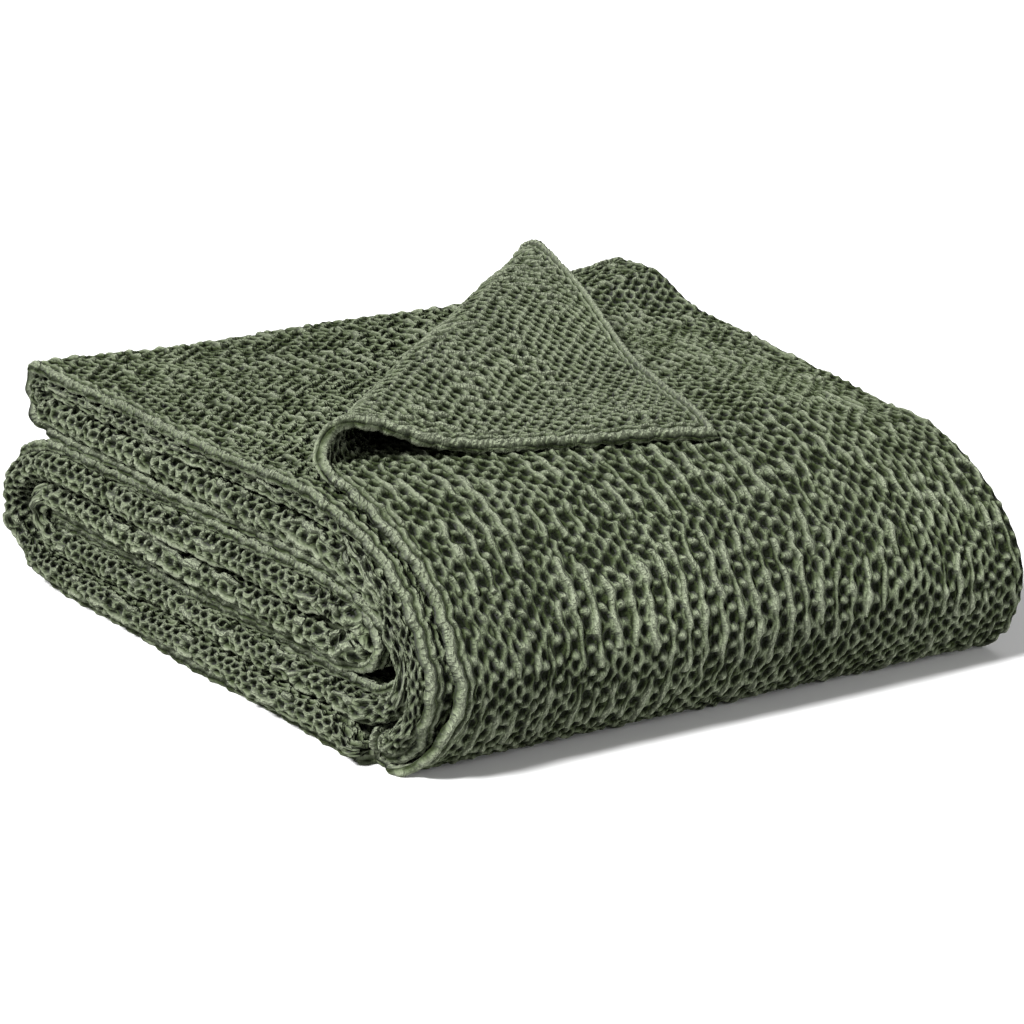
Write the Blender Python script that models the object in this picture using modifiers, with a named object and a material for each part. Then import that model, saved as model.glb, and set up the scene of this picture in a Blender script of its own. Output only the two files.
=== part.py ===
"""Folded bedspread: one thick honeycomb-woven cloth, folded in three along its length, then wound
into a flat bundle with its outer corner turned back over the top.

The strip that is wound has three plies. The hem ply ends in a hem at the left end, the two plies
of the pair are joined there by a rounded fold, and the hem ply turns into the pair at the right end.
Metres, +X to the right along the front fold, +Y to the back, +Z up, the cloth resting on Z = 0.
"""
import math
from collections import namedtuple

import bmesh
import bpy
from mathutils import Vector

NAME = "bedspread"

# Bundle: the length of the front fold and the height of the flat top, where the crease is
RIGHT_END = 0.444
TOP_HEIGHT = 0.158
# Space on each side of the line between the hem ply and the pair, and inside the pair
PLY_SPACE = 0.0006
PAIR_SLIT = 0.0016
# Half the space between the plies that meet inside the core and back folds, and how far the inner
# ply of the pair is pressed together there
CORE_SPACE = 0.0026
INNER_PRESS = 0.6
# The inner ply of the pair stops short of the right end
INNER_PLY_END = 0.436

# Places across the width where the cloth may bend, as shares of the flat width
HEM_PLY_SHARES = (0.0, 0.03, 0.25, 0.55, 0.8, 0.93, 1.0)
PAIR_SHARES = (0.0, 0.07, 0.2, 0.45, 0.75, 1.0)
RIGHT_FOLD_STEPS = 3
LEFT_FOLD_STEPS = 4
STEP_ALONG_RUN = 0.066
STEPS_PER_QUARTER = 5

# A run is one flat layer and a turn is the bend between two layers, listed from the outer end of
# the cloth to its inner end. line is the height of the line between the hem ply and the pair.
Run = namedtuple("Run", "name line start end hem pair hem_left pair_left")
Turn = namedtuple("Turn", "name reach height hem pair hem_left pair_left core squareness")
COURSES = (
    Run("top", 0.1520, 0.446, 0.115, 0.0055, 0.0, 0.012, 0.0),
    Turn("outer front wrap", -0.0080, 0.064, 0.0055, 0.0, 0.024, 0.0, None, 1.78),
    Run("front foot", 0.0060, 0.034, 0.050, 0.0055, 0.0, 0.016, 0.0),
    Run("eighth layer", 0.0060, 0.054, 0.430, 0.0055, 0.0160, 0.010, 0.002),
    Turn("outer back wrap", 0.4930, 0.050, 0.0050, 0.0165, 0.000, -0.009, None, 2.2),
    Run("fourth layer", 0.0970, 0.412, 0.106, 0.0045, 0.0195, 0.002, -0.005),
    Turn("core fold", 0.0650, 0.0755, 0.0038, 0.0, 0.006, 0.002, (0.0890, 0.0755), 2.0),
    Run("fifth layer", 0.0540, 0.094, 0.426, 0.0045, 0.0190, 0.006, -0.002),
    Turn("inner back wrap", 0.4320, 0.04825, 0.0040, 0.0150, 0.008, 0.001, None, 2.0),
    Run("seventh layer", 0.0425, 0.426, 0.060, 0.0045, 0.0175, 0.007, 0.000),
    Turn("inner front wrap", 0.0218, 0.064, 0.0038, 0.0105, 0.010, 0.003, None, 1.78),
    Run("second layer", 0.1084, 0.108, 0.440, 0.0041, 0.0205, 0.003, 0.001),
    Turn("back fold", 0.4610, 0.1280, 0.0048, 0.0, 0.003, 0.001, (0.4420, 0.1310), 2.0),
    Run("first layer", 0.1450, 0.440, 0.115, 0.0053, 0.0125, 0.000, 0.003),
    Turn("middle front wrap", -0.0018, 0.063, 0.0038, 0.0088, 0.009, 0.002, None, 1.78),
    Run("inner end", 0.0112, 0.036, 0.047, 0.0035, 0.0085, 0.012, 0.006),
)
OUTER_COURSES = 3

# Turned corner: the crease starts at a point of the top and runs back and to the right
CREASE_START = Vector((0.0668, 0.1456))
CREASE_ANGLE = math.radians(42.4)
LAY_ANGLE = math.radians(-69.0)
ROLL_RADIUS = 0.0132
ROLL_GROWTH = 0.011
ROLL_STEPS = 6
CUT_SNAP = 0.0015
REST_HEIGHT = 0.0078
SAG_NEAR = 0.09
SAG_GAIN = 0.25
FLAP_CUTS = (0.08, 0.115, 0.145, 0.175, 0.205)

# Unevenness of the whole bundle
RIGHT_SINK = 0.070
RIGHT_DRAW = 0.015
CORNER_LIFT = 0.014
BACK_LEFT_LIFT = 0.006
WAVE_HEIGHT = 0.0016
EDGE_WANDER = 0.0022

CLOTH_COLOUR = (0.118, 0.148, 0.090, 1.0)

Station = namedtuple("Station", "line outward inward hem pair hem_left pair_left press course phase")


def clear_scene():
    """Start from an empty scene."""
    for thing in list(bpy.data.objects):
        bpy.data.objects.remove(thing, do_unlink=True)


def smooth(value):
    """Ease from 0 to 1."""
    value = min(max(value, 0.0), 1.0)
    return value * value * (3.0 - 2.0 * value)


def right_share(across):
    """0 over most of the width, rising to 1 at the right end, where the bundle sinks."""
    return smooth((across - 0.32) / 0.12)


def quarter(corner, tip, squareness, rising):
    """Points of a quarter of a rounded bend, from a layer to its reach or back to a layer."""
    points = []
    for step in range(1, STEPS_PER_QUARTER + 1):
        angle = 0.5 * math.pi * step / STEPS_PER_QUARTER
        if not rising:
            angle = 0.5 * math.pi - angle
        depth = math.sin(angle) ** (2.0 / squareness)
        height = math.cos(angle) ** (2.0 / squareness)
        points.append((corner[0] + (tip[0] - corner[0]) * depth,
                       tip[1] + (corner[1] - tip[1]) * height))
    return points


def lay_out_courses():
    """Points of the line between the hem ply and the pair, each with its course and its place in it."""
    points = []
    for number, course in enumerate(COURSES):
        if isinstance(course, Run):
            steps = max(1, math.ceil(abs(course.end - course.start) / STEP_ALONG_RUN))
            follows_turn = number > 0 and isinstance(COURSES[number - 1], Turn)
            first = 1 if follows_turn else 0
            for step in range(first, steps + 1):
                share = step / steps
                depth = course.start + (course.end - course.start) * share
                points.append(((depth, course.line), number, share))
        else:
            before, after = COURSES[number - 1], COURSES[number + 1]
            tip = (course.reach, course.height)
            bend = quarter((before.end, before.line), tip, course.squareness, True)
            bend += quarter((after.start, after.line), tip, course.squareness, False)
            for step, point in enumerate(bend, 1):
                points.append((point, number, step / len(bend)))
    return points


def blend_course(number, share, column):
    """A column's value at a place in a course: turns ease between their own value and the layers'."""
    course = COURSES[number]
    own = getattr(course, column)
    if isinstance(course, Run):
        return own
    side = COURSES[number - 1] if share < 0.5 else COURSES[number + 1]
    return own + (getattr(side, column) - own) * smooth(abs(2.0 * share - 1.0))


def find_stations():
    """Each place along the wound strip, with its directions outwards and inwards and its plies."""
    points = lay_out_courses()
    stations = []
    for index, (place, number, share) in enumerate(points):
        last, following = points[max(index - 1, 0)][0], points[min(index + 1, len(points) - 1)][0]
        along = Vector((following[0] - last[0], following[1] - last[1])).normalized()
        outward = Vector((along[1], -along[0]))
        line = Vector(place)
        course = COURSES[number]
        inward = -outward
        pair = blend_course(number, share, "pair")
        press = 1.0
        if isinstance(course, Turn) and course.core is not None:
            core_y, core_z = course.core
            opens_back = course.reach < core_y
            target_y = max(core_y, line[0]) if opens_back else min(core_y, line[0])
            reach = Vector((target_y, core_z)) - line
            inward = reach.normalized()
            pair = reach.length - PLY_SPACE - CORE_SPACE
            press = INNER_PRESS
        stations.append(Station(line, outward, inward, blend_course(number, share, "hem"), pair,
                                blend_course(number, share, "hem_left"),
                                blend_course(number, share, "pair_left"), press, number, index))
    return stations


def ply_places(station):
    """Across the width: X, distance from the line (outwards is positive) and thickness."""
    wander = EDGE_WANDER * math.sin(1.7 * station.phase) * math.cos(0.6 * station.phase)
    hem_left = station.hem_left + wander
    hem_centre = PLY_SPACE + station.hem / 2.0
    thick = max((station.pair - PAIR_SLIT) / 2.0, 0.003)
    outer_centre = PLY_SPACE + thick / 2.0
    inner_centre = outer_centre + PAIR_SLIT + thick
    places = []
    for share in HEM_PLY_SHARES:
        edge = 0.7 if share == 0.0 else 1.0
        places.append((hem_left + (RIGHT_END - hem_left) * share, hem_centre, station.hem * edge))
    fold_centre = (hem_centre - outer_centre) / 2.0
    fold_radius = (hem_centre + outer_centre) / 2.0
    for step in range(1, RIGHT_FOLD_STEPS):
        angle = math.pi * step / RIGHT_FOLD_STEPS
        places.append((RIGHT_END + fold_radius * math.sin(angle),
                       fold_centre + fold_radius * math.cos(angle), station.hem * 0.9))
    left_radius = (thick + PAIR_SLIT) / 2.0
    left_start = station.pair_left - wander + station.pair / 2.0
    for share in PAIR_SHARES:
        thickness = station.hem + (thick - station.hem) * smooth(share / 0.3)
        places.append((RIGHT_END + (left_start - RIGHT_END) * share, -outer_centre, thickness))
    left_centre = (outer_centre + inner_centre) / 2.0
    for step in range(1, LEFT_FOLD_STEPS):
        angle = math.pi * step / LEFT_FOLD_STEPS
        places.append((left_start - left_radius * math.sin(angle),
                       -left_centre + left_radius * math.cos(angle), thick * station.press))
    for share in reversed(PAIR_SHARES):
        edge = 0.7 if share == 0.0 else 1.0
        places.append((INNER_PLY_END + (left_start - INNER_PLY_END) * share, -inner_centre,
                       thick * edge * station.press))
    return [(across, distance, thickness * (1.0 - RIGHT_SINK * right_share(across)))
            for across, distance, thickness in places]


def fold_cloth(mesh_data):
    """A flat grid moved onto the wound strip, without the pair where only the hem ply is outside."""
    stations = find_stations()
    widths = [ply_places(station) for station in stations]
    columns, rows = len(widths[0]), len(stations)
    cloth = bmesh.new()
    thickness_layer = cloth.verts.layers.deform.verify()
    bmesh.ops.create_grid(cloth, x_segments=columns - 1, y_segments=rows - 1, size=0.5)
    cloth.verts.ensure_lookup_table()
    thickest = max(place[2] for width in widths for place in width)
    unused = []
    for vert in cloth.verts:
        column = round((vert.co.x + 0.5) * (columns - 1))
        row = round((vert.co.y + 0.5) * (rows - 1))
        station = stations[row]
        across, distance, thickness = widths[row][column]
        direction = station.outward if distance > 0.0 else -station.inward
        if len(HEM_PLY_SHARES) <= column < len(HEM_PLY_SHARES) + RIGHT_FOLD_STEPS - 1:
            direction = station.outward
        place = station.line + direction * distance
        vert.co = (across, place[0], place[1])
        vert[thickness_layer][0] = thickness / thickest
        if station.course < OUTER_COURSES and column >= len(HEM_PLY_SHARES):
            unused.append(vert)
    bmesh.ops.delete(cloth, geom=unused, context="VERTS")
    turn_corner(cloth)
    for vert in cloth.verts:
        vert.co = settle(vert.co)
    bmesh.ops.recalc_face_normals(cloth, faces=cloth.faces)
    cloth.to_mesh(mesh_data)
    cloth.free()
    return thickest


def top_drop(depth):
    """How far the top layer has sunk where it starts round the front wrap."""
    run, turn = COURSES[0], COURSES[1]
    if depth >= run.end:
        return 0.0
    share = min((run.end - depth) / (run.end - turn.reach), 1.0)
    rise = (1.0 - share ** turn.squareness) ** (1.0 / turn.squareness)
    return (run.line - turn.height) * (1.0 - rise)


def turn_corner(cloth):
    """Cut the top ply beside the crease, roll it over there and lay its corner on the top."""
    along = Vector((math.cos(CREASE_ANGLE), math.sin(CREASE_ANGLE)))
    across = Vector((-along.y, along.x))
    lay = Vector((math.cos(LAY_ANGLE), math.sin(LAY_ANGLE)))
    level = COURSES[0].line
    middle = level + PLY_SPACE + COURSES[0].hem / 2.0
    widest_roll = math.pi * (ROLL_RADIUS + ROLL_GROWTH * 0.4)
    cuts = [widest_roll * step / ROLL_STEPS for step in range(ROLL_STEPS + 1)]
    for cut in cuts + [widest_roll / 2.0 + distance for distance in FLAP_CUTS]:
        faces = [face for face in cloth.faces if all(vert.co.z > level for vert in face.verts)]
        parts = set(faces)
        for face in faces:
            parts.update(face.edges)
            parts.update(face.verts)
        start = CREASE_START + across * cut
        bmesh.ops.bisect_plane(cloth, geom=list(parts), dist=CUT_SNAP, plane_co=(start.x, start.y, level),
                               plane_no=(across.x, across.y, 0.0))
    for vert in cloth.verts:
        if vert.co.z <= level:
            continue
        offset = vert.co.xy - CREASE_START
        beyond = offset.dot(across)
        if beyond <= 1e-6:
            continue
        distance = offset.dot(along)
        foot = CREASE_START + along * distance
        radius = ROLL_RADIUS + ROLL_GROWTH * max(distance, 0.0)
        angle = beyond / radius
        if angle <= math.pi:
            place = foot + across * radius * math.sin(angle)
            height = radius * (1.0 - math.cos(angle))
        else:
            run = beyond - math.pi * radius
            place = foot + lay * run
            reach = SAG_NEAR + SAG_GAIN * max(distance, 0.0)
            fall = 0.5 + 0.5 * math.cos(math.pi * min(run / reach, 1.0))
            height = REST_HEIGHT + (2.0 * radius - REST_HEIGHT) * fall
        vert.co = (place.x, place.y, middle + height - top_drop(place.y))


def settle(place):
    """The soft, uneven set of the whole bundle: it sinks at the right end and waves a little."""
    share = place.z / TOP_HEIGHT
    right = right_share(place.x)
    sink = RIGHT_SINK * right
    lift = CORNER_LIFT * math.exp(-((place.x - 0.46) / 0.07) ** 2 - ((place.y - 0.43) / 0.08) ** 2)
    lift += BACK_LEFT_LIFT * math.exp(-((place.x - 0.02) / 0.05) ** 2 - ((place.y - 0.47) / 0.05) ** 2)
    wave = math.sin(19.0 * place.x + 1.1) * math.sin(13.0 * place.y + 0.4)
    wave += 0.6 * math.sin(31.0 * place.x + 17.0 * place.y)
    height = place.z * (1.0 - sink) + (lift + WAVE_HEIGHT * wave) * share ** 2
    depth = place.y + 0.004 * share * math.sin(14.0 * place.x + 0.8)
    depth -= 0.006 * (1.0 - place.x / RIGHT_END) * smooth(1.0 - place.y / 0.12) * smooth(share * 2.0)
    across = place.x - RIGHT_DRAW * right * share ** 2 * smooth(1.25 - place.y / 0.4)
    return Vector((across, depth, height))


def cloth_material():
    """Dry, stone-washed cotton in a greyed green."""
    material = bpy.data.materials.new("washed green cotton")
    material.use_nodes = True
    shader = material.node_tree.nodes["Principled BSDF"]
    shader.inputs["Base Color"].default_value = CLOTH_COLOUR
    shader.inputs["Roughness"].default_value = 0.9
    shader.inputs["Metallic"].default_value = 0.0
    return material


def make_bedspread(collection):
    """The folded cloth, as thick in each ply as the ply is puffed, with its origin under its middle."""
    mesh = bpy.data.meshes.new(NAME)
    thickest = fold_cloth(mesh)
    bedspread = bpy.data.objects.new(NAME, mesh)
    collection.objects.link(bedspread)
    bedspread.vertex_groups.new(name="ply thickness")
    plies = bedspread.modifiers.new("plies", "SOLIDIFY")
    plies.thickness = thickest
    plies.offset = 0.0
    plies.vertex_group = "ply thickness"
    plies.use_even_offset = False
    mesh.materials.append(cloth_material())
    mesh.shade_smooth()
    return bedspread


def centre_on_floor(thing):
    """Move the mesh so that the box round the finished piece stands on the origin."""
    seen = thing.evaluated_get(bpy.context.evaluated_depsgraph_get())
    corners = [Vector(corner) for corner in seen.bound_box]
    low = Vector(min(corner[axis] for corner in corners) for axis in range(3))
    high = Vector(max(corner[axis] for corner in corners) for axis in range(3))
    middle = (low + high) / 2.0
    for vert in thing.data.vertices:
        vert.co -= Vector((middle.x, middle.y, low.z))


clear_scene()
bundle = bpy.data.collections.new(NAME)
bpy.context.scene.collection.children.link(bundle)
centre_on_floor(make_bedspread(bundle))
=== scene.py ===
"""Folded bedspread in stone-washed green cotton, woven in a chunky open honeycomb.

The real thing is one hemmed strip of cloth, doubled along one side, wound into a flat bundle and
turned back at its outer corner. Each piece here is a stretch of that one cloth, and meets the
next one without a step.
"""
import math

import bpy
import numpy as np
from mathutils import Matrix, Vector


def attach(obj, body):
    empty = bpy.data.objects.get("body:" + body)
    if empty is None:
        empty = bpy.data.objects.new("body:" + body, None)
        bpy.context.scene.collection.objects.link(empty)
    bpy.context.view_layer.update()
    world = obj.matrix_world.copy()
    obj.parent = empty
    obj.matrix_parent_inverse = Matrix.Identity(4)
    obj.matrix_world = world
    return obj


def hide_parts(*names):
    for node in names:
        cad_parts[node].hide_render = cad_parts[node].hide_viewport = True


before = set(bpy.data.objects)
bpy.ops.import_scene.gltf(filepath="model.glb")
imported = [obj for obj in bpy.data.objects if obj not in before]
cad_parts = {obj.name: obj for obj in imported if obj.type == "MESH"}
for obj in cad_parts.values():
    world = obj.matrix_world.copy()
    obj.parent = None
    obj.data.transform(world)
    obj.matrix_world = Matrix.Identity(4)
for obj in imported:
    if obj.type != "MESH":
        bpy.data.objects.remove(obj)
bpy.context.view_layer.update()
bpy.ops.object.select_all(action="DESELECT")


# Doubled ply inside the bundle. Behind its hem ply the cloth lies double: it turns back at the
# right end, runs to the left end, turns there and runs back to its other hem. This middle of it
# is never seen and is the same washed cotton, held by nothing but the winding.

# The winding starts on the top, goes round the front, underneath, up the back and back inside.
# A run has its line height, start and end. A turn has its reach, tip height, squareness and, at
# a tight fold, the core that it lies round. Then come the thickness of the hem ply and of the
# doubled ply, and how far each one's left edge is from the left end.
RUN, TURN = "run", "turn"
SHAPE, START, END, SIZES = 2, 3, 4, slice(5, None)
COURSES = (
    ("top", RUN, 0.1520, 0.446, 0.115, 0.0055, 0.0, 0.012, 0.0),
    ("outer front wrap", TURN, (-0.0080, 0.064, 1.78, None), 0, 0, 0.0055, 0.0, 0.024, 0.0),
    ("front foot", RUN, 0.0060, 0.034, 0.050, 0.0055, 0.0, 0.010, 0.0),
    ("eighth layer", RUN, 0.0060, 0.054, 0.430, 0.0055, 0.0160, 0.001, -0.006),
    ("outer back wrap", TURN, (0.4930, 0.050, 2.2, None), 0, 0, 0.0050, 0.0165, 0.000, -0.009),
    ("fourth layer", RUN, 0.0970, 0.412, 0.106, 0.0045, 0.0195, 0.002, -0.005),
    ("core fold", TURN, (0.0450, 0.0745, 2.0, (0.0890, 0.0755)), 0, 0, 0.0038, 0.0, 0.004, 0.000),
    ("fifth layer", RUN, 0.0540, 0.094, 0.440, 0.0045, 0.0190, 0.006, -0.002),
    ("inner back wrap", TURN, (0.4500, 0.04825, 2.0, None), 0, 0, 0.0040, 0.0150, 0.006, -0.001),
    ("seventh layer", RUN, 0.0425, 0.440, 0.060, 0.0045, 0.0175, 0.007, 0.000),
    ("inner front wrap", TURN, (0.0218, 0.064, 1.78, None), 0, 0, 0.0038, 0.0105, 0.010, 0.003),
    ("second layer", RUN, 0.1084, 0.108, 0.440, 0.0041, 0.0205, 0.003, 0.001),
    ("back fold", TURN, (0.4610, 0.1280, 2.0, (0.4420, 0.1310)), 0, 0, 0.0048, 0.0, 0.003, 0.001),
    ("first layer", RUN, 0.1450, 0.440, 0.115, 0.0053, 0.0125, 0.000, 0.003),
    ("middle front wrap", TURN, (-0.0018, 0.063, 1.78, None), 0, 0, 0.0038, 0.0088, 0.009, 0.002),
    ("inner end", RUN, 0.0112, 0.036, 0.047, 0.0035, 0.0130, 0.010, 0.003),
)
COURSE_NAMES = [row[0] for row in COURSES]
BUNDLE_SHIFT = np.array([-0.21985, -0.24086, 0.00010])
PATH_STEP, STEPS_IN_COURSE = 0.0005, 240
STATION, STATIONS_IN_TURN = 0.066, 10
SOFTEN, SOFTEN_PAIR, SOFTEN_PRESS = 0.006, 0.008, 0.012
PLY_SPACE = 0.0006
CORE_SPACE, FRONT_CORE, INNER_PRESS = 0.0026, 0.2, 0.6
WEDGE, WEDGE_START = 0.045, 0.3


def course(name):
    """A course's row in the table."""
    return COURSES[COURSE_NAMES.index(name)]


def smooth(value):
    """Ease from 0 to 1."""
    value = np.clip(value, 0.0, 1.0)
    return value * value * (3.0 - 2.0 * value)


def even_out(values, metres):
    """Average a row of values along the path over a short stretch."""
    count = int(round(metres / PATH_STEP)) | 1
    padded = np.pad(values, count // 2, mode="edge")
    return np.convolve(padded, np.ones(count) / count, mode="valid")


def wind_path():
    """Even steps along the line between the hem ply and the doubled ply, with the plies' sizes."""
    sizes_in_row = ("hem", "pair", "hem_left", "pair_left")
    rows = {name: [] for name in ("y", "z", *sizes_in_row, "course", "phase", "core_y", "core_z")}
    phase = 0.0
    share = np.linspace(0.0, 1.0, STEPS_IN_COURSE + 1)[:-1]
    for number, (name, kind, shape, start, end, *sizes) in enumerate(COURSES):
        sizes = np.array(sizes)[:, None]
        core = None
        if kind == RUN:
            depth = start + (end - start) * share
            height = np.full_like(share, shape)
            values = np.repeat(sizes, len(share), 1)
            stations = math.ceil(abs(end - start) / STATION)
        else:
            reach, tip, squareness, core = shape
            before, after = COURSES[number - 1], COURSES[number + 1]
            angle = np.pi * share
            rising = share < 0.5
            corner_y = np.where(rising, before[END], after[START])
            corner_z = np.where(rising, before[SHAPE], after[SHAPE])
            depth = corner_y + (reach - corner_y) * np.abs(np.sin(angle)) ** (2.0 / squareness)
            height = tip + (corner_z - tip) * np.abs(np.cos(angle)) ** (2.0 / squareness)
            beside = np.where(rising, np.array(before[SIZES])[:, None], np.array(after[SIZES])[:, None])
            values = sizes + (beside - sizes) * smooth(np.abs(2.0 * share - 1.0))
            stations = STATIONS_IN_TURN
        rows["y"].append(depth)
        rows["z"].append(height)
        for key, value in zip(sizes_in_row, values):
            rows[key].append(value)
        rows["course"].append(np.full_like(share, number))
        rows["phase"].append(phase + share * stations)
        rows["core_y"].append(np.full_like(share, core[0] if core else np.nan))
        rows["core_z"].append(np.full_like(share, core[1] if core else np.nan))
        phase += stations + (1 if name == "front foot" else 0)
    line = {name: np.concatenate(parts) for name, parts in rows.items()}
    steps = np.hypot(np.diff(line["y"]), np.diff(line["z"]))
    length = np.concatenate([[0.0], np.cumsum(steps)])
    at = np.arange(0.0, length[-1], PATH_STEP)
    nearest = np.searchsorted(length, at).clip(0, len(length) - 1)
    path = {"s": at}
    for name, values in line.items():
        stepped = name in ("course", "core_y", "core_z")
        path[name] = values[nearest] if stepped else np.interp(at, length, values)
    along_y = even_out(np.gradient(path["y"]), SOFTEN)
    along_z = even_out(np.gradient(path["z"]), SOFTEN)
    size = np.hypot(along_y, along_z)
    path["out_y"], path["out_z"] = along_z / size, -along_y / size
    cored = ~np.isnan(path["core_y"])
    nearer = np.where(path["core_y"] < FRONT_CORE, np.maximum(path["core_y"], path["y"]),
                      np.minimum(path["core_y"], path["y"]))
    reach_y, reach_z = nearer - path["y"], path["core_z"] - path["z"]
    reach = np.hypot(reach_y, reach_z)
    inward_y = even_out(np.where(cored, reach_y / reach, -path["out_y"]), SOFTEN)
    inward_z = even_out(np.where(cored, reach_z / reach, -path["out_z"]), SOFTEN)
    size = np.hypot(inward_y, inward_z)
    path["in_y"], path["in_z"] = inward_y / size, inward_z / size
    pair = even_out(np.where(cored, reach - PLY_SPACE - CORE_SPACE, path["pair"]), SOFTEN_PAIR)
    started = at - at[path["course"] >= COURSE_NAMES.index("eighth layer")][0]
    path["pair"] = pair * np.where(started > 0.0, smooth(WEDGE_START + started / WEDGE), 1.0)
    path["press"] = even_out(np.where(cored, INNER_PRESS, 1.0), SOFTEN_PRESS)
    return path


PATH = wind_path()
LENGTH = PATH["s"][-1]


def course_span(name):
    """Where a course starts and ends along the cloth."""
    inside = PATH["course"] == COURSE_NAMES.index(name)
    return PATH["s"][inside][0], PATH["s"][inside][-1]


# The whole bundle has sunk towards its right end, with lifted back corners, a rolling right edge
# and the slow waves of a soft thick cloth. A lift has its height, and its middle and width across
# and in depth. A roll has its height, middle and width in depth. Waves are in radians a metre.
TOP_HEIGHT = 0.158
RIGHT_START, RIGHT_RUN = 0.32, 0.12
RIGHT_SINK, RIGHT_DRAW = 0.070, 0.015
CORNER_LIFTS = ((0.019, 0.465, 0.075, 0.43, 0.085), (0.003, 0.02, 0.05, 0.47, 0.05))
RIGHT_ROLLS = ((0.0060, 0.385, 0.032), (0.0050, 0.270, 0.070), (-0.0060, 0.108, 0.034))
WAVE_HEIGHT, ACROSS_WAVE, ACROSS_SHIFT, DEPTH_WAVE, DEPTH_SHIFT = 0.0018, 19.0, 1.1, 13.0, 0.4
SLANT_SHARE, SLANT_ACROSS, SLANT_DEPTH = 0.6, 31.0, 17.0
SIDE_HEIGHT, SIDE_WAVE, SIDE_SHIFT = 0.004, 14.0, 0.8
FRONT_DRAW, FRONT_RUN = 0.006, 0.12
DRAW_START, DRAW_RUN = 1.25, 0.4
BACK_SPREAD, BACK_START, BACK_RUN = 0.008, 0.33, 0.12
LEFT_SPREAD, LEFT_RUN = 0.8, 0.1
RIGHT_END = 0.444


def settle(place):
    """The soft, uneven set of the whole bundle."""
    x, y, z = place[..., 0], place[..., 1], place[..., 2]
    share = z / TOP_HEIGHT
    right = smooth((x - RIGHT_START) / RIGHT_RUN)
    lift = np.zeros_like(x)
    for rise, middle_x, width_x, middle_y, width_y in CORNER_LIFTS:
        lift = lift + rise * np.exp(-((x - middle_x) / width_x) ** 2 - ((y - middle_y) / width_y) ** 2)
    for rise, middle, width in RIGHT_ROLLS:
        lift = lift + rise * right * np.exp(-((y - middle) / width) ** 2)
    straight = np.sin(ACROSS_WAVE * x + ACROSS_SHIFT) * np.sin(DEPTH_WAVE * y + DEPTH_SHIFT)
    wave_here = straight + SLANT_SHARE * np.sin(SLANT_ACROSS * x + SLANT_DEPTH * y)
    height = z * (1.0 - RIGHT_SINK * right) + (lift + WAVE_HEIGHT * wave_here) * share ** 2
    depth = y + SIDE_HEIGHT * share * np.sin(SIDE_WAVE * x + SIDE_SHIFT)
    drawn = FRONT_DRAW * (1.0 - x / RIGHT_END) * smooth(1.0 - y / FRONT_RUN) * smooth(share * 2.0)
    depth = depth - drawn
    across = x - RIGHT_DRAW * right * share ** 2 * smooth(DRAW_START - y / DRAW_RUN)
    back = BACK_SPREAD * share * smooth((y - BACK_START) / BACK_RUN)
    across = across + back * (right - LEFT_SPREAD * smooth(1.0 - x / LEFT_RUN))
    return np.stack([across, depth, height], -1)


# The honeycomb weave: cords sway apart and together round staggered pits, and the picks knot
# them where they meet. In open bands two cords run as one long float with wide pits beside it,
# slubs make it all uneven, and a turned hem with its seam runs round every free edge.
# A size in brackets is the least that it is, and what the thickest yarn or knot adds to it.
HALF_ACROSS, HALF_ALONG = 0.0060, 0.0054
CORD_TOP, KNOT_TOP, FLOAT_TOP = 0.0026, 0.0032, 0.0036
CORD_SWAY, CORD_HALF, CORD_RISE = 0.15, (0.36, 0.17), (0.62, 0.60)
OPEN_NARROWER, OPEN_LOWER, OPEN_KNOT_LOSS = 0.10, 0.18, 0.6
KNOT_TILT, KNOT_ACROSS, KNOT_ALONG, KNOT_RISE = 0.5, (0.58, 0.24), (0.49, 0.25), (0.66, 0.50)
FLOAT_SWAY, FLOAT_TURN, FLOAT_ONSET = 0.12, 1.7, 1.3
FLOAT_HALF, FLOAT_RISE, FLOAT_GROWTH = (0.32, 0.34), (0.70, 0.50), (0.3, 0.7)
HEM_TOP, SEAM_TOP, HEM_FLOOR, HEM_WIDTH = 0.0048, 0.0040, 0.0017, 0.0128
HEM_MIDDLE, HEM_HALF, SEAM_AWAY, SEAM_HALF = 0.0035, 0.0044, 0.0066, 0.0028
HEM_SWAY, FLOOR_MIDDLE, FLOOR_HALF, HEM_BLEND = 0.0010, 0.0062, 0.0055, 0.0016
ROPE_RISE, ROPE_STITCH, SEAM_RISE, SEAM_STITCH = (0.62, 0.24), 0.14, (0.68, 0.20), 0.12
STITCH_ACROSS, STITCH_ALONG, STITCH_SLIP = 1.09, 0.98, 2.4
FACE_LEVEL, DOME_POWER = 0.0026, 0.8


class Yarn:
    """A value passed between the nodes of the cotton's finish, with the arithmetic of a number."""

    def __init__(self, tree, socket):
        self.tree, self.socket = tree, socket

    def step(self, operation, *values):
        node = self.tree.nodes.new("ShaderNodeMath")
        node.operation = operation
        for place, value in zip(node.inputs, values):
            if isinstance(value, Yarn):
                self.tree.links.new(value.socket, place)
            else:
                place.default_value = float(value)
        return Yarn(self.tree, node.outputs[0])

    def __add__(self, other):
        return self.step("ADD", self, other)

    def __sub__(self, other):
        return self.step("SUBTRACT", self, other)

    def __rsub__(self, other):
        return self.step("SUBTRACT", other, self)

    def __mul__(self, other):
        return self.step("MULTIPLY", self, other)

    def __truediv__(self, other):
        return self.step("DIVIDE", self, other)

    __radd__, __rmul__ = __add__, __mul__


def apply(operation, plain, *values):
    """Work a step on nodes where a value is one, and otherwise on plain numbers."""
    carrier = next((value for value in values if isinstance(value, Yarn)), None)
    return carrier.step(operation, *values) if carrier else plain(*values)


def wave(value):
    return apply("COSINE", np.cos, value)


def floor_of(value):
    return apply("FLOOR", np.floor, value)


def larger(one, other):
    return apply("MAXIMUM", np.maximum, one, other)


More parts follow.
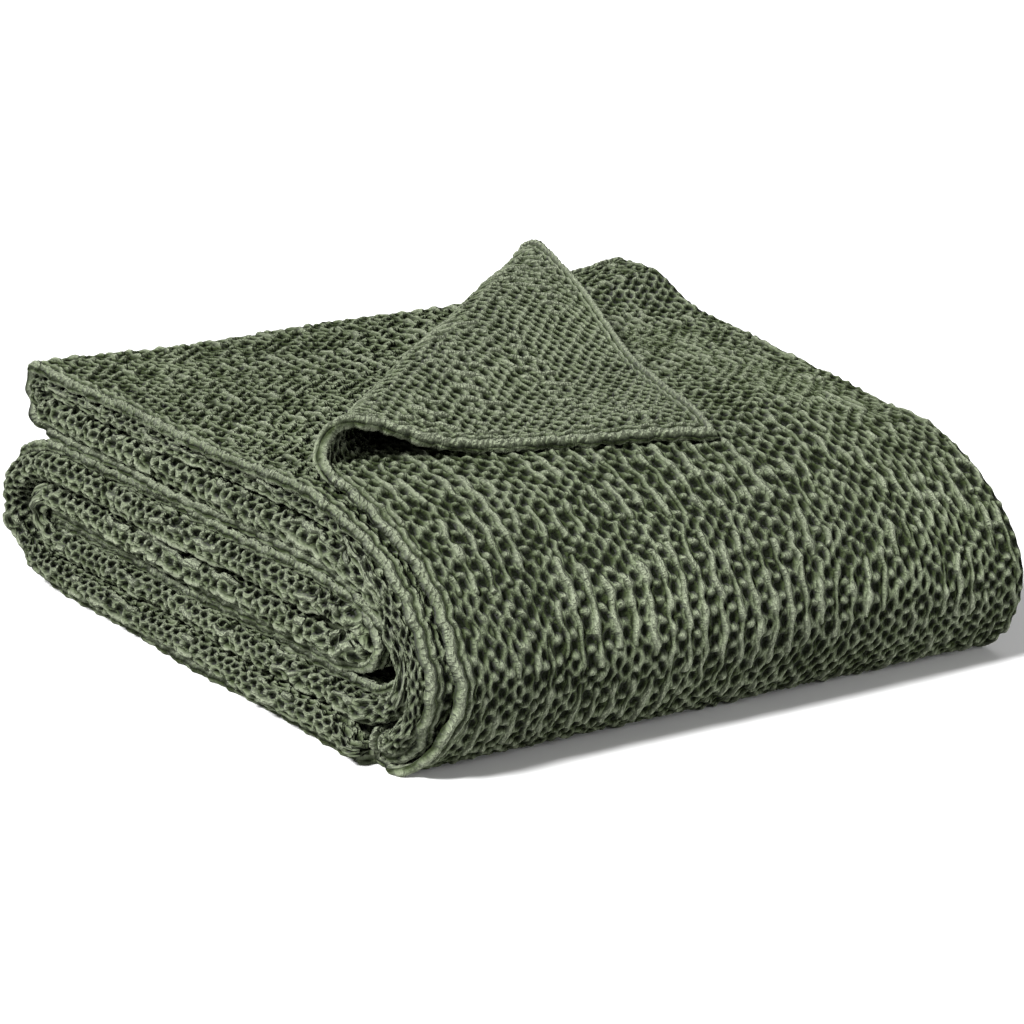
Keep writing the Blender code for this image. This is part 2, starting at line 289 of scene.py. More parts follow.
def eased(value):
    """Ease from 0 to 1."""
    held = apply("MINIMUM", np.minimum, larger(value, 0.0), 1.0)
    return held * held * (3.0 - 2.0 * held)


def dome(*distances):
    """Height of a round yarn, 1 on its middle and 0 at a distance of 1 from it."""
    left = 1.0 - sum((distance * distance for distance in distances), 0.0 * distances[0])
    return apply("POWER", np.power, larger(left, 0.0), DOME_POWER)


def to_even(value):
    """Signed distance to the nearest even number."""
    return value - 2.0 * floor_of(value * 0.5 + 0.5)


def grown(size, thickness):
    """A size with what the thickness of its yarn adds to it."""
    least, more = size
    return least + more * thickness


def relief(p, q, opened, yarn, lump, inside, edge):
    """Height of the weave and its hem over the floor of the pits, at cord p and pick q."""
    k = floor_of(p)
    sway = CORD_SWAY * wave(math.pi * q) * wave(math.pi * k)
    cord = dome((p - k - 0.5 - sway) / (grown(CORD_HALF, yarn) - OPEN_NARROWER * opened))
    height = CORD_TOP * (grown(CORD_RISE, yarn) - OPEN_LOWER * opened) * cord
    tilt = KNOT_TILT * lump - KNOT_TILT / 2.0
    for beside in (0.0, 1.0):
        m = k + beside
        across, along = p - m, to_even(q - m - 1.0)
        odd = to_even(m) * to_even(m)
        knot = dome((across + tilt * along) / grown(KNOT_ACROSS, lump),
                    (along - tilt * across) / grown(KNOT_ALONG, lump))
        kept = 1.0 - OPEN_KNOT_LOSS * odd * opened
        height = larger(height, KNOT_TOP * grown(KNOT_RISE, lump) * kept * knot)
    float_wave = wave(0.5 * math.pi * q + FLOAT_TURN * floor_of(0.5 * p))
    off_float = to_even(p - 1.0) + FLOAT_SWAY * float_wave
    free = eased(FLOAT_ONSET * opened)
    width = grown(FLOAT_HALF, yarn) * grown(FLOAT_GROWTH, free)
    height = larger(height, FLOAT_TOP * grown(FLOAT_RISE, yarn) * free * dome(off_float / width))
    stitch = wave(math.pi * (STITCH_ACROSS * p + STITCH_ALONG * q) + STITCH_SLIP * lump)
    off_rope = edge - HEM_MIDDLE - HEM_SWAY * (lump - 0.5)
    rope = HEM_TOP * dome(off_rope / HEM_HALF) * (grown(ROPE_RISE, yarn) + ROPE_STITCH * stitch * stitch)
    off_seam = (off_rope - SEAM_AWAY) / SEAM_HALF
    seam = SEAM_TOP * dome(off_seam) * (grown(SEAM_RISE, yarn) + SEAM_STITCH * stitch)
    hem = larger(larger(rope, seam), HEM_FLOOR * dome((edge - FLOOR_MIDDLE) / FLOOR_HALF))
    return inside * height + (1.0 - inside) * hem


# No two cells of the weave are alike. A wander has the size of its cells across and along the
# cloth, how many cords or picks it goes, and its number. The front has the most open bands.
CORD_WANDERS = ((0.06, 0.05, 1.1, 1), (0.010, 0.009, 0.45, 3))
PICK_WANDERS = ((0.07, 0.05, 1.4, 2), (0.009, 0.010, 0.60, 4))
BAND_ACROSS, BAND_ALONG, BAND_NUMBER = 0.08, 0.024, 5
COLUMN_STEP, COLUMN_ALONG, COLUMN_NUMBER = 0.61, 0.013, 6
BAND_SHARE, OPEN_START, OPEN_RUN = 0.50, 0.46, 0.16
FRONT_OPEN, FRONT_MIDDLE, FRONT_WIDTH = 0.10, 0.45, 0.08
UNEVEN, YARN_ALONG, YARN_NUMBER = 1.7, 0.0060, 7
LUMP_ACROSS, LUMP_ALONG, LUMP_NUMBER = 0.0062, 0.0058, 8
SCATTER_I, SCATTER_J, SCATTER_K, SCATTER_GAIN = 127.1, 311.7, 74.7, 43758.5453


def chance(i, j, k):
    """A fixed number from 0 to 1 for each place of a lattice."""
    n = np.sin(i * SCATTER_I + j * SCATTER_J + k * SCATTER_K) * SCATTER_GAIN
    return n - np.floor(n)


def drift(u, v, k):
    """A slow wander from 0 to 1 over unit cells."""
    i, j = np.floor(u), np.floor(v)
    a, b = smooth(u - i), smooth(v - j)
    low = chance(i, j, k) * (1 - a) + chance(i + 1, j, k) * a
    high = chance(i, j + 1, k) * (1 - a) + chance(i + 1, j + 1, k) * a
    return low * (1 - b) + high * b


def wandering(start, wanders, u, v):
    """A count of cords or picks that wanders over the cloth."""
    for across, along, amount, number in wanders:
        start = start + amount * (drift(u / across, v / along, number) - 0.5)
    return start


def unevenness(slow):
    """A thickness from 0 to 1, pushed apart from its middle."""
    return np.clip(0.5 + UNEVEN * (slow - 0.5), 0.0, 1.0)


def weave_fields(u, v, edge):
    """Place in cords and picks, how open the weave is, and how thick its cords and knots are."""
    p = wandering(u / HALF_ACROSS, CORD_WANDERS, u, v)
    q = wandering(v / HALF_ALONG, PICK_WANDERS, u, v)
    column = np.floor(p / 2.0)
    band = BAND_SHARE * drift(u / BAND_ACROSS, v / BAND_ALONG, BAND_NUMBER)
    band = band + BAND_SHARE * drift(column * COLUMN_STEP, v / COLUMN_ALONG, COLUMN_NUMBER)
    band = band + FRONT_OPEN * np.exp(-((v - FRONT_MIDDLE) / FRONT_WIDTH) ** 2)
    opened = smooth((band - OPEN_START) / OPEN_RUN)
    yarn = unevenness(drift(p + 0.5, v / YARN_ALONG, YARN_NUMBER))
    lump = unevenness(drift(u / LUMP_ACROSS, v / LUMP_ALONG, LUMP_NUMBER))
    inside = smooth((edge - HEM_WIDTH + HEM_BLEND / 2.0) / HEM_BLEND)
    return p, q, opened, yarn, lump, inside


# Dyed and stone-washed cotton, one finish all over: dry round yarns with fine lengthwise fibres,
# pale green on the yarn tops. Below that the colour darkens with the height of the weave to near
# black down in the pits, and that darkening is painted shade. Fibres, ribs and fading have how
# many there are in a metre across and along the cloth, and their detail.
ROUGHNESS, SHEEN, SHEEN_ROUGHNESS, GLOSS = 0.90, 0.03, 0.5, 0.06
# Colours at heights of the weave: the pit, pit wall and shoulder colours are painted shade that darkens the
# cloth down into its pits, and the top colour is the yarn's own.
PIT_PAINTED_SHADE, PIT_WALL_PAINTED_SHADE = (0.003, 0.005, 0.001, 1.0), (0.028, 0.039, 0.014, 1.0)
SHOULDER_PAINTED_SHADE, YARN_TOP = (0.124, 0.149, 0.088, 1.0), (0.222, 0.250, 0.172, 1.0)
WALL_SHADE_AT, SHOULDER_SHADE_AT = 0.40, 0.68
CLOTH_LAYERS = ("weave", "yarn", "cloth")
LEVEL_SCALE, BUMP_SCALE = 270.0, 2.2
FIBRES, RIBS, FADING = (620.0, 300.0, 1.5), (340.0, 720.0, 1.5), (9.0, 7.0, 2.0)
FIBRE_SHARE, RIB_SHARE = 0.7, 0.3
FIBRE_HEIGHT, FIBRE_IN_PIT, FIBRE_ON_TOP = 0.0034, 0.4, 330.0
FIBRE_CONTRAST, FIBRE_DARKEST = 1.6, 0.22
FADE_DARKEST, FADE_CONTRAST = 0.75, 0.5


def mix_cotton():
    material = bpy.data.materials.new("stone washed cotton")
    material.use_nodes = True
    tree = material.node_tree
    shader = tree.nodes["Principled BSDF"]
    shader.inputs["Roughness"].default_value = ROUGHNESS
    shader.inputs["Sheen Weight"].default_value = SHEEN
    shader.inputs["Sheen Roughness"].default_value = SHEEN_ROUGHNESS
    shader.inputs["Specular IOR Level"].default_value = GLOSS
    parts = []
    for name in CLOTH_LAYERS:
        source = tree.nodes.new("ShaderNodeAttribute")
        source.attribute_name = name
        split = tree.nodes.new("ShaderNodeSeparateXYZ")
        tree.links.new(source.outputs["Vector"], split.inputs["Vector"])
        parts.append([Yarn(tree, socket) for socket in split.outputs])
    (p, q, opened), (yarn, lump, inside), (u, v, edge) = parts
    level = relief(p, q, opened, yarn, lump, inside, edge)

    def noise(scale_u, scale_v, detail):
        place = tree.nodes.new("ShaderNodeCombineXYZ")
        tree.links.new((u * scale_u).socket, place.inputs["X"])
        tree.links.new((v * scale_v).socket, place.inputs["Y"])
        cloud = tree.nodes.new("ShaderNodeTexNoise")
        cloud.inputs["Scale"].default_value = 1.0
        cloud.inputs["Detail"].default_value = detail
        tree.links.new(place.outputs["Vector"], cloud.inputs["Vector"])
        return Yarn(tree, cloud.outputs["Fac"])

    fibre, ribs, fade = noise(*FIBRES), noise(*RIBS), noise(*FADING)
    rough = FIBRE_SHARE * fibre + RIB_SHARE * ribs
    full = level + FIBRE_HEIGHT * (FIBRE_IN_PIT + FIBRE_ON_TOP * level) * rough
    # The colour ramp paints shade by height: near black in the pits, the yarn's own colour on top.
    ramp = tree.nodes.new("ShaderNodeValToRGB")
    tree.links.new((level * LEVEL_SCALE).socket, ramp.inputs["Fac"])
    stops = ramp.color_ramp.elements
    stops[0].position, stops[0].color = 0.0, PIT_PAINTED_SHADE
    stops[1].position, stops[1].color = 1.0, YARN_TOP
    stops.new(WALL_SHADE_AT).color = PIT_WALL_PAINTED_SHADE
    stops.new(SHOULDER_SHADE_AT).color = SHOULDER_PAINTED_SHADE
    colour = tree.nodes.new("ShaderNodeVectorMath")
    colour.operation = "SCALE"
    tree.links.new(ramp.outputs["Color"], colour.inputs[0])
    shade = (FIBRE_CONTRAST * rough + FIBRE_DARKEST) * (FADE_DARKEST + FADE_CONTRAST * fade)
    tree.links.new(shade.socket, colour.inputs["Scale"])
    tree.links.new(colour.outputs["Vector"], shader.inputs["Base Color"])
    bump = tree.nodes.new("ShaderNodeBump")
    bump.inputs["Distance"].default_value = BUMP_SCALE
    bump.inputs["Strength"].default_value = 1.0
    tree.links.new(full.socket, bump.inputs["Height"])
    tree.links.new(bump.outputs["Normal"], shader.inputs["Normal"])
    return material


COTTON = mix_cotton()

# A stretch of the cloth has columns across it. A column lies on one ply, or in one of the two
# folds that join the plies, at a weight between that ply's left and right ends.
HEM, RIGHT, OUTER, LEFT, INNER = range(5)
INNER_PLY_END, DOUBLED_WIDTH = 0.436, 0.43
RIGHT_FOLD, LEFT_FOLD = 0.0065, 0.0092
PAIR_SLIT, THINNEST, TAPER = 0.0016, 0.003, 0.10
TURN_THINNEST, TURN_THICKER, TURN_OUTSIDE = 0.92, 0.08, 0.9
SINGLE_COURSES = 2.5
EDGE_WANDER, WANDER_FAST, WANDER_SLOW = 0.0022, 1.7, 0.6
PUCKERS, FOLD_PUCKER = ((0.0009, 285.0, 0.0), (0.0004, 611.0, 1.3)), 0.7
FAR_FROM_EDGE = 1.0
BLOCK = 4
ROUND_HEM, ROUND_FOLD, ROUNDEST = 0.0032, 0.0065, 0.97
ROOM_BETWEEN_FACES, ROOM_UNDER_FACE = 0.85, 1.6
WRONG_SIDE_CLOSER = 0.40


def spread(start, end, step):
    """Even steps from start to end, a whole number of blocks."""
    blocks = max(1, round(abs(end - start) / step / BLOCK))
    return np.linspace(start, end, blocks * BLOCK + 1)


def ply_columns(ply, weights, left=(0.0, 0.0), right=(0.0, 0.0)):
    """Columns along a flat ply, with the first's and the last's distance from either of its ends."""
    return [(ply, w, left[0] + (left[1] - left[0]) * k, right[0] + (right[1] - right[0]) * k)
            for w, k in zip(weights, np.linspace(0.0, 1.0, len(weights)))]


def ply_faces(at, columns, turned):
    """Middle, thickness, cloth place and distance from a free edge of each crossing."""
    row = {key: np.interp(at, PATH["s"], PATH[key])[:, None] for key in PATH}
    wander = EDGE_WANDER * np.sin(WANDER_FAST * row["phase"]) * np.cos(WANDER_SLOW * row["phase"])
    pucker = sum(height * np.sin(at[:, None] * turns + shift) for height, turns, shift in PUCKERS)
    hem_left = row["hem_left"] + wander + pucker
    hem = row["hem"]
    thick = np.maximum((row["pair"] - PAIR_SLIT) / 2.0, THINNEST)
    hem_centre, outer_centre = PLY_SPACE + hem / 2.0, PLY_SPACE + thick / 2.0
    inner_centre = outer_centre + PAIR_SLIT + thick
    left_start = row["pair_left"] - wander - FOLD_PUCKER * pucker + row["pair"] / 2.0
    fold_radius = (hem_centre + outer_centre) / 2.0
    left_radius = (thick + PAIR_SLIT) / 2.0
    shape = (len(at), len(columns))
    x, away, thickness, u = (np.zeros(shape) for _ in range(4))
    edge, fold_edge = np.full(shape, FAR_FROM_EDGE), np.full(shape, FAR_FROM_EDGE)
    outward = np.zeros(shape, bool)
    base_outer = RIGHT_END + math.pi * RIGHT_FOLD
    base_left = base_outer + DOUBLED_WIDTH
    base_inner = base_left + math.pi * LEFT_FOLD
    for index, (ply, w, from_left, from_right) in enumerate(columns):
        angle = math.pi * w
        left = hem_left if ply == HEM else left_start
        end = INNER_PLY_END if ply == INNER else RIGHT_END
        place = (left + from_left) * (1.0 - w) + (end - from_right) * w
        if ply == HEM:
            values = (place, hem_centre, hem, place)
            edge[:, index] = (place - hem_left)[:, 0]
            single = row["course"] < SINGLE_COURSES
            fold_edge[:, index] = np.where(single, RIGHT_END - place, FAR_FROM_EDGE)[:, 0]
            outward[:, index] = True
        elif ply == RIGHT:
            values = (RIGHT_END + fold_radius * math.sin(angle),
                      (hem_centre - outer_centre) / 2.0 + fold_radius * math.cos(angle),
                      hem * (TURN_THINNEST + TURN_THICKER * abs(math.cos(angle))),
                      RIGHT_END + math.pi * RIGHT_FOLD * w)
            outward[:, index] = w < TURN_OUTSIDE
        elif ply == OUTER:
            thicker = (thick - hem) * smooth((RIGHT_END - place) / TAPER)
            values = (place, -outer_centre, hem + thicker, base_outer + RIGHT_END - place)
        elif ply == LEFT:
            values = (left_start - left_radius * math.sin(angle),
                      left_radius * math.cos(angle) - (outer_centre + inner_centre) / 2.0,
                      thick * (1.0 + (row["press"] - 1.0) * smooth(2.0 * w)),
                      base_left + math.pi * LEFT_FOLD * w)
        else:
            values = (place, -inner_centre, thick * row["press"], base_inner + place - left_start)
            edge[:, index] = (INNER_PLY_END - place)[:, 0]
        for grid, value in zip((x, away, thickness, u), values):
            grid[:, index] = np.ravel(value)
    outside = (away > 0) | outward
    toward_y = np.where(outside, row["out_y"], -row["in_y"])
    toward_z = np.where(outside, row["out_z"], -row["in_z"])
    place = np.stack([x, row["y"] + toward_y * away, row["z"] + toward_z * away], -1)
    v = np.repeat(at[:, None], len(columns), 1)
    edge = np.minimum(edge, np.minimum(v, LENGTH - v))
    thickness = thickness * (1.0 - RIGHT_SINK * smooth((x - RIGHT_START) / RIGHT_RUN))
    return settle(turned(place) if turned else place), thickness, u, v, edge, fold_edge


def lay_cloth(name, at, columns, right_side=True, wrong_side=False, keep=None, turned=None):
    """A closed stretch of cloth: its fine faces carry the weave and its plain one only the fold."""
    place, thickness, u, v, edge, fold_edge = ply_faces(at, columns, turned)
    normal = np.cross(np.gradient(place, axis=0), np.gradient(place, axis=1))
    normal = normal / np.linalg.norm(normal, axis=-1, keepdims=True)
    p, q, opened, yarn, lump, inside = weave_fields(u, v, edge)
    rounding = 1.0 - np.clip(edge / ROUND_HEM, 0.0, 1.0)
    fold_rounding = 1.0 - np.clip(fold_edge / ROUND_FOLD, 0.0, 1.0)
    half = thickness / 2.0 * np.sqrt(1.0 - ROUNDEST * np.maximum(rounding, fold_rounding) ** 2)
    room = half * (ROOM_BETWEEN_FACES if right_side and wrong_side else ROOM_UNDER_FACE)
    sides = []
    for side, fine, outward, closer in (("face", right_side, 1.0, 0.0),
                                        ("back", wrong_side, -1.0, WRONG_SIDE_CLOSER)):
        full_yarn, full_lump = np.minimum(yarn + closer, 1.0), np.minimum(lump + closer, 1.0)
        woven = relief(p, q, opened, full_yarn, full_lump, inside, edge) - FACE_LEVEL
        woven = woven * np.sqrt(1.0 - rounding ** 2)
        woven = np.where(woven < 0.0, woven * np.minimum(1.0, room / FACE_LEVEL), woven)
        grid = place + outward * normal * (half + (woven if fine else 0.0))[..., None]
        sides.append((side, grid, fine, ((p, q, opened), (full_yarn, full_lump, inside), (u, v, edge))))
    rows, cols = (len(at) - 1) // BLOCK, (len(columns) - 1) // BLOCK
    mask = np.ones((rows, cols), bool)
    if keep is not None:
        middle = BLOCK // 2
        mask = keep(u[middle::BLOCK, middle::BLOCK][:rows, :cols], at[middle::BLOCK][:rows][:, None])
    points, data, faces, index = [], [], [], {}
    for side, grid, fine, layers in sides:
        step = 1 if fine else BLOCK
        used = np.zeros(grid.shape[:2], bool)
        r, c = np.nonzero(np.kron(mask, np.ones((BLOCK // step, BLOCK // step), bool)))
        r, c = r * step, c * step
        for dr in (0, step):
            for dc in (0, step):
                used[r + dr, c + dc] = True
        number = np.full(used.shape, -1)
        number[used] = np.arange(used.sum()) + sum(len(earlier) for earlier in points)
        index[side] = number
        points.append(grid[used])
        data.append([np.stack([values[used] for values in layer], -1) for layer in layers])
        quad = [number[r, c], number[r + step, c], number[r + step, c + step], number[r, c + step]]
        faces.append(np.stack(quad if side == "face" else quad[::-1], -1))
    quads = np.concatenate(faces)
    rims = []
    padded = np.pad(mask, 1)
    for r, c in zip(*np.nonzero(mask)):
        top, left = r * BLOCK, c * BLOCK
        ends = range(BLOCK + 1)
        around = ((padded[r + 1, c], [(top + k, left) for k in ends]),
                  (padded[r + 2, c + 1], [(top + BLOCK, left + k) for k in ends]),
                  (padded[r + 1, c + 2], [(top + BLOCK - k, left + BLOCK) for k in ends]),
                  (padded[r, c + 1], [(top, left + BLOCK - k) for k in ends]))
        for neighbour, line in around:
            if neighbour:
                continue
            if right_side and wrong_side:
                for first, second in zip(line, line[1:]):
                    rims.append([index["face"][second], index["face"][first],
                                 index["back"][first], index["back"][second]])
            else:
                ahead = line if right_side else [line[0], line[-1]]
                behind = line if wrong_side else [line[0], line[-1]]
                rims.append([index["face"][k] for k in reversed(ahead)] + [index["back"][k] for k in behind])
    mesh = bpy.data.meshes.new(name)
    corners = np.concatenate(points) + BUNDLE_SHIFT
    corners[:, 2] = np.maximum(corners[:, 2], 0.0)
    mesh.from_pydata(corners.tolist(), [], quads.tolist() + rims)
    smooth_faces = np.ones(len(mesh.polygons), bool)
    smooth_faces[len(quads):] = False
    mesh.polygons.foreach_set("use_smooth", smooth_faces)
    for name_of_layer, *sides_of_layer in zip(CLOTH_LAYERS, *data):
        layer = mesh.attributes.new(name_of_layer, "FLOAT_VECTOR", "POINT")
        layer.data.foreach_set("vector", np.concatenate(sides_of_layer).astype(np.float32).ravel())
    mesh.validate()
    piece = bpy.data.objects.new(name, mesh)
    bpy.context.scene.collection.objects.link(piece)
    mesh.materials.append(COTTON)
    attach(piece, "root")
    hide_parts("bedspread")


PLAIN_ACROSS, PLAIN_ALONG = 0.008, 0.0017
PLY_WIDTH = 0.42
FOLD_REACH, RIGHT_REACH = 0.012, 0.008
BESIDE_FOLD, BESIDE_RIGHT = (FOLD_REACH, FOLD_REACH), (RIGHT_REACH, RIGHT_REACH)
bottom_start = course_span("front foot")[1]
doubled_rows = spread(bottom_start, LENGTH, PLAIN_ALONG)
outer_part = ply_columns(OUTER, spread(1.0, 0.0, PLAIN_ACROSS / PLY_WIDTH), BESIDE_FOLD, BESIDE_RIGHT)
inner_part = ply_columns(INNER, spread(0.0, 1.0, PLAIN_ACROSS / PLY_WIDTH), BESIDE_FOLD)
lay_cloth("doubled_ply_outer", doubled_rows, outer_part, False, False)
lay_cloth("doubled_ply_inner", doubled_rows, inner_part, False, False)


# Hem ply inside the bundle. It is the single ply that carries the cloth's long hem, and between
# its hem and the right end it is hidden by the layers wound over it.
MARGIN = 0.024
BESIDE_HEM = (MARGIN, MARGIN)
BACK_FOLD_LAP = 0.02
back_end = course_span("outer back wrap")[1]
fold_start = course_span("back fold")[0]
first_start, first_end = course_span("first layer")
hidden_part = ply_columns(HEM, spread(0.0, 1.0, PLAIN_ACROSS / PLY_WIDTH), BESIDE_HEM)
inner_rows = spread(back_end, fold_start - BACK_FOLD_LAP, PLAIN_ALONG)
lay_cloth("inner_hem_ply", inner_rows, hidden_part, False, False)
end_rows = spread(first_end, LENGTH, PLAIN_ALONG)
lay_cloth("inner_hem_end", end_rows, hidden_part, False, False)


# Layers under the turned corner. The cloth comes up round the back fold and lies flat on the
# bundle, and the turned corner of the ply above leaves it open from a slanting crease to the left
# end. Only that bare part is woven, and the rest of the layer is hidden.
CREASE_START = np.array([0.0668, 0.1456])
CREASE_ANGLE = math.radians(41.4)
ALONG_CREASE = np.array([math.cos(CREASE_ANGLE), math.sin(CREASE_ANGLE)])
ACROSS_CREASE = np.array([-ALONG_CREASE[1], ALONG_CREASE[0]])
BACK_FOLD_ACROSS, BACK_FOLD_ALONG = 0.0018, 0.0017
UNDER_FINE, UNDER_LAP = 0.0014, -0.025


def beyond_crease(u, depth):
    """How far a place of a flat ply lies on the turned side of the crease."""
    return (u - CREASE_START[0]) * ACROSS_CREASE[0] + (depth - CREASE_START[1]) * ACROSS_CREASE[1]


def is_bare(u, s):
    return beyond_crease(u, course("first layer")[START] - (s - first_start)) > UNDER_LAP


def is_covered(u, s):
    return ~is_bare(u, s)


fold_rows = spread(fold_start - BACK_FOLD_LAP, first_start, BACK_FOLD_ALONG)
fold_part = ply_columns(HEM, spread(0.0, 1.0, BACK_FOLD_ACROSS / PLY_WIDTH), BESIDE_HEM)
lay_cloth("back_fold", fold_rows, fold_part)
under_rows = spread(first_start, first_end, UNDER_FINE)
under_part = ply_columns(HEM, spread(0.0, 1.0, UNDER_FINE / PLY_WIDTH), BESIDE_HEM)
lay_cloth("under_layer", under_rows, under_part, keep=is_bare)
rest_rows = spread(first_start, first_end, PLAIN_ALONG)
lay_cloth("under_layer_rest", rest_rows, hidden_part, False, False, is_covered)


# Underside and back of the bundle. The outermost ply runs flat under the bundle, where it only
# lies on the floor, and goes up round the back in one thick soft roll.
UNDERSIDE_FINE, BACK_FINE = 0.0034, 0.0018
bottom_end = course_span("eighth layer")[1]
bottom_rows = spread(bottom_start, bottom_end, UNDERSIDE_FINE)
bottom_part = ply_columns(HEM, spread(0.0, 1.0, UNDERSIDE_FINE / PLY_WIDTH), BESIDE_HEM)
lay_cloth("underside", bottom_rows, bottom_part)
back_rows = spread(bottom_end, back_end, BACK_FINE)
back_part = ply_columns(HEM, spread(0.0, 1.0, BACK_FINE / PLY_WIDTH), BESIDE_HEM)
lay_cloth("outer_back_wrap", back_rows, back_part)


# Hem at the left end. The cloth's long edge is turned under twice and stitched, and its rope and
# seam show between the folds of the doubled ply all round the winding.
HEM_FINE, HEM_COLUMNS = 0.0015, 17
OUTER_SHARE = 0.55
HALF_WAY = LENGTH * OUTER_SHARE
outer_edge_rows = spread(bottom_start, HALF_WAY, HEM_FINE)
inner_edge_rows = spread(HALF_WAY, LENGTH, HEM_FINE)
hem_part = ply_columns(HEM, np.zeros(HEM_COLUMNS), (0.0, MARGIN))
lay_cloth("hem_edge_outer", outer_edge_rows, hem_part, True, True)
lay_cloth("hem_edge_inner", inner_edge_rows, hem_part, True, True)


# Folds at the left end. The doubled ply turns round here in a soft bulge that shows the wrong
# side of the weave, flattened by the weight of the layers above.
INTO_BULGE, ROUND_BULGE, OUT_OF_BULGE = 8, 21, 6
bulge_part = ply_columns(OUTER, np.zeros(INTO_BULGE), (FOLD_REACH, 0.0))
bulge_part += ply_columns(LEFT, np.linspace(0.0, 1.0, ROUND_BULGE)[1:-1])
bulge_part += ply_columns(INNER, np.zeros(OUT_OF_BULGE), (0.0, FOLD_REACH))
lay_cloth("left_folds_outer", outer_edge_rows, bulge_part, False, True)
lay_cloth("left_folds_inner", inner_edge_rows, bulge_part, False, True)


# Folds at the right end. The hem ply turns round into the doubled ply here, in closed round
# folds that lie on each other like the back of a book.
RIGHT_FINE = 0.0021
ROUND_TURN, OUT_OF_TURN = 13, 5
turn_part = ply_columns(HEM, np.ones(1))
turn_part += ply_columns(RIGHT, np.linspace(0.0, 1.0, ROUND_TURN)[1:-1])
turn_part += ply_columns(OUTER, np.ones(OUT_OF_TURN), right=(0.0, RIGHT_REACH))
lay_cloth("right_folds", spread(bottom_start, LENGTH, RIGHT_FINE), turn_part)


# Outer ply with the turned corner. The last stretch of cloth lies over the top and down round
# the front to the foot, and its hemmed outer corner is rolled over at a slant and laid back.
FINE = 0.0013
OUTER_WIDTH = 0.432
FRONT_LAP, CREASE_LAP = 0.03, -0.004
LAY_ANGLE, LAY_SLACK = math.radians(-66.0), 0.93
LAY = np.array([math.cos(LAY_ANGLE), math.sin(LAY_ANGLE)])
ROLL_RADIUS, ROLL_GROWTH = 0.0132, 0.021
REST_HEIGHT, SAG_NEAR, SAG_GAIN = 0.0064, 0.072, 0.22


def turn_corner(place):
    """Roll what lies beyond the crease over a soft roll and lay it back on the top."""
    top_line, top_end_depth, hem = course("top")[SHAPE], course("top")[END], course("top")[SIZES][0]
    reach, tip, squareness, _ = course("outer front wrap")[SHAPE]
    offset = place[..., :2] - CREASE_START
    beyond, distance = offset @ ACROSS_CREASE, offset @ ALONG_CREASE
    foot = CREASE_START + distance[..., None] * ALONG_CREASE
    growing = np.maximum(distance, 0.0)
    radius = ROLL_RADIUS + ROLL_GROWTH * growing
    angle = np.maximum(beyond, 0.0) / radius
    run = beyond - math.pi * radius
    fall = 0.5 + 0.5 * np.cos(np.pi * np.clip(run / (SAG_NEAR + SAG_GAIN * growing), 0.0, 1.0))
    rolled = foot + (radius * np.sin(angle))[..., None] * ACROSS_CREASE
    laid = foot + LAY_SLACK * run[..., None] * LAY
    height = np.where(angle <= math.pi, radius * (1.0 - np.cos(np.minimum(angle, math.pi))),
                      REST_HEIGHT + (2.0 * radius - REST_HEIGHT) * fall)
    flat = np.where((angle <= math.pi)[..., None], rolled, laid)
    share = np.clip((top_end_depth - flat[..., 1]) / (top_end_depth - reach), 0.0, 1.0)
    drop = (top_line - tip) * (1.0 - (1.0 - share ** squareness) ** (1.0 / squareness))
    is_turned = (beyond > 0.0) & (place[..., 2] > top_line)
    moved = np.concatenate([flat, (top_line + PLY_SPACE + hem / 2.0 + height - drop)[..., None]], -1)
    return np.where(is_turned[..., None], moved, place)


def is_turned_part(u, s):
    return beyond_crease(u, course("top")[START] - s) > CREASE_LAP


def is_flat_part(u, s):
    return ~is_turned_part(u, s)


outer_hem_part = ply_columns(HEM, spread(0.0, 1.0, FINE / OUTER_WIDTH))
top_front = course_span("top")[1] + FRONT_LAP
top_rows = spread(0.0, top_front, FINE)
front_rows = spread(top_front, bottom_start, FINE)
lay_cloth("front_wrap", front_rows, outer_hem_part)
lay_cloth("top_ply", top_rows, outer_hem_part, True, False, is_flat_part, turn_corner)
lay_cloth("turned_corner", top_rows, outer_hem_part, True, True, is_turned_part, turn_corner)


# White paper floor that the bundle stands on, which runs out of the picture on every side.
PAPER, PAPER_ROUGHNESS, PAPER_SIZE = (0.72, 0.72, 0.72, 1.0), 1.0, 30.0
bpy.ops.mesh.primitive_plane_add(size=PAPER_SIZE, location=(0.0, 0.0, 0.0))
floor = bpy.context.object
floor.name = "floor"
paper = bpy.data.materials.new("white paper")
paper.use_nodes = True
paper.node_tree.nodes["Principled BSDF"].inputs["Base Color"].default_value = PAPER
paper.node_tree.nodes["Principled BSDF"].inputs["Roughness"].default_value = PAPER_ROUGHNESS
floor.data.materials.append(paper)


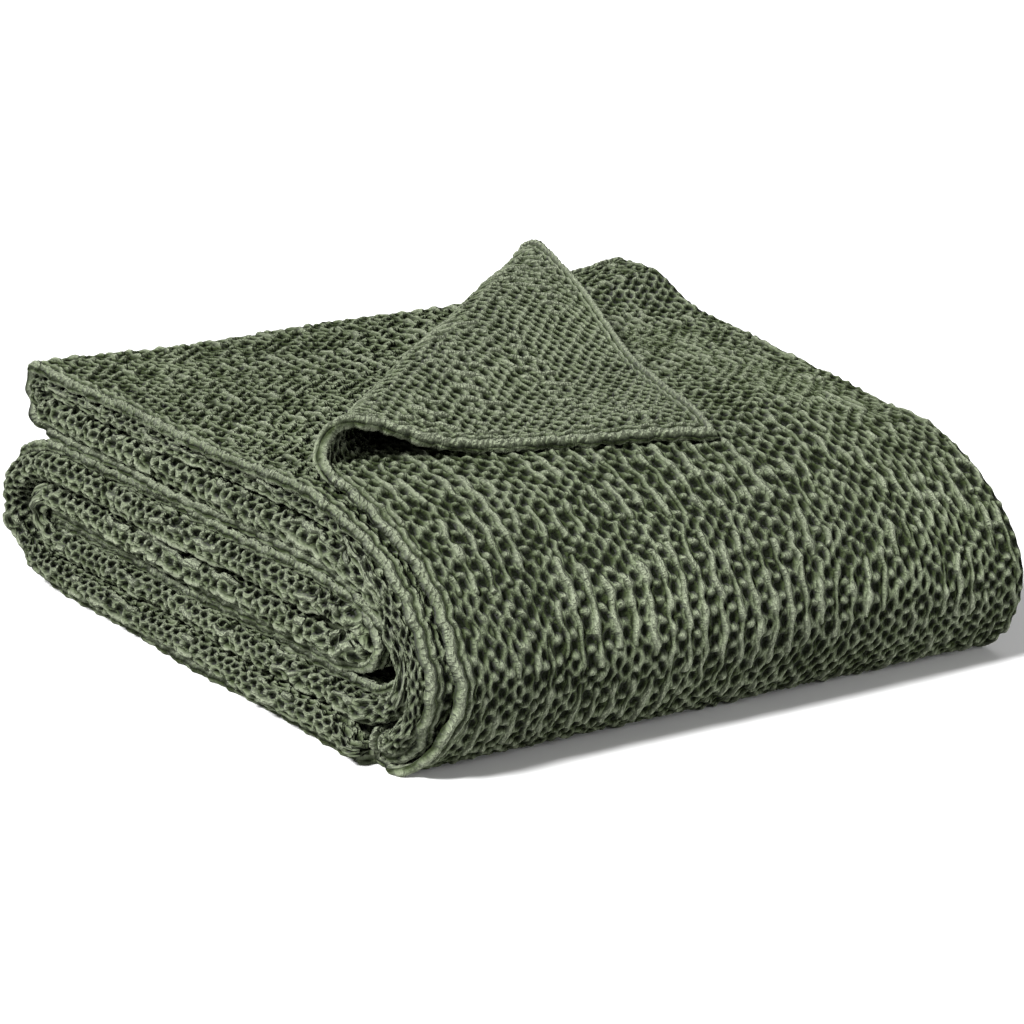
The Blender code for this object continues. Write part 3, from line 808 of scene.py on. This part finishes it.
# Camera with a long lens, a little above the bundle and in front of its left end.
AZIMUTH, ELEVATION = math.radians(-32.822), math.radians(17.086)
AIM, DISTANCE = Vector((0.0039, -0.0060, 0.0703)), 2.7121
LENS, SENSOR_WIDTH = 149.614, 36.0
away = Vector((math.sin(AZIMUTH) * math.cos(ELEVATION), -math.cos(AZIMUTH) * math.cos(ELEVATION),
               math.sin(ELEVATION)))
camera_data = bpy.data.cameras.new("camera")
camera_data.lens = LENS
camera_data.sensor_width = SENSOR_WIDTH
camera = bpy.data.objects.new("camera", camera_data)
camera.location = AIM + away * DISTANCE
camera.rotation_mode = "QUATERNION"
camera.rotation_quaternion = (-away).to_track_quat("-Z", "Y")
bpy.context.scene.collection.objects.link(camera)
bpy.context.scene.camera = camera


# Studio light: one large soft key from high on the left that rakes the weave, a weak fill at the
# right front, a rim from behind on the right, and pale walls all round.
WALL_COLOUR, WALL_LIGHT = (1.0, 1.0, 1.0, 1.0), 0.20
FILL_WATTS, FILL_SIZE, RIM_WATTS, RIM_SIZE = 27.0, 1.3, 16.0, 1.2
KEY_STRENGTH, KEY_SPREAD = 7.2, math.radians(13.0)
bpy.context.scene.view_settings.view_transform = "Standard"
world = bpy.data.worlds.new("studio")
bpy.context.scene.world = world
world.use_nodes = True
world.node_tree.nodes["Background"].inputs["Color"].default_value = WALL_COLOUR
world.node_tree.nodes["Background"].inputs["Strength"].default_value = WALL_LIGHT


def hang_light(name, kind, place, direction, energy):
    """A lamp at a place that shines in a direction, with its light to set its spread on."""
    light = bpy.data.lights.new(name, kind)
    light.energy = energy
    lamp = bpy.data.objects.new(name, light)
    lamp.location = place
    lamp.rotation_mode = "QUATERNION"
    lamp.rotation_quaternion = Vector(direction).to_track_quat("-Z", "Y")
    bpy.context.scene.collection.objects.link(lamp)
    return light


hang_light("fill", "AREA", (1.0, -1.9, 0.80), (-1.0, 1.9, -0.75), FILL_WATTS).size = FILL_SIZE
hang_light("rim", "AREA", (1.4, 1.6, 1.5), (-1.4, -1.6, -1.42), RIM_WATTS).size = RIM_SIZE
hang_light("key", "SUN", (0.0, 0.0, 0.0), (0.68, 0.13, -0.72), KEY_STRENGTH).angle = KEY_SPREAD
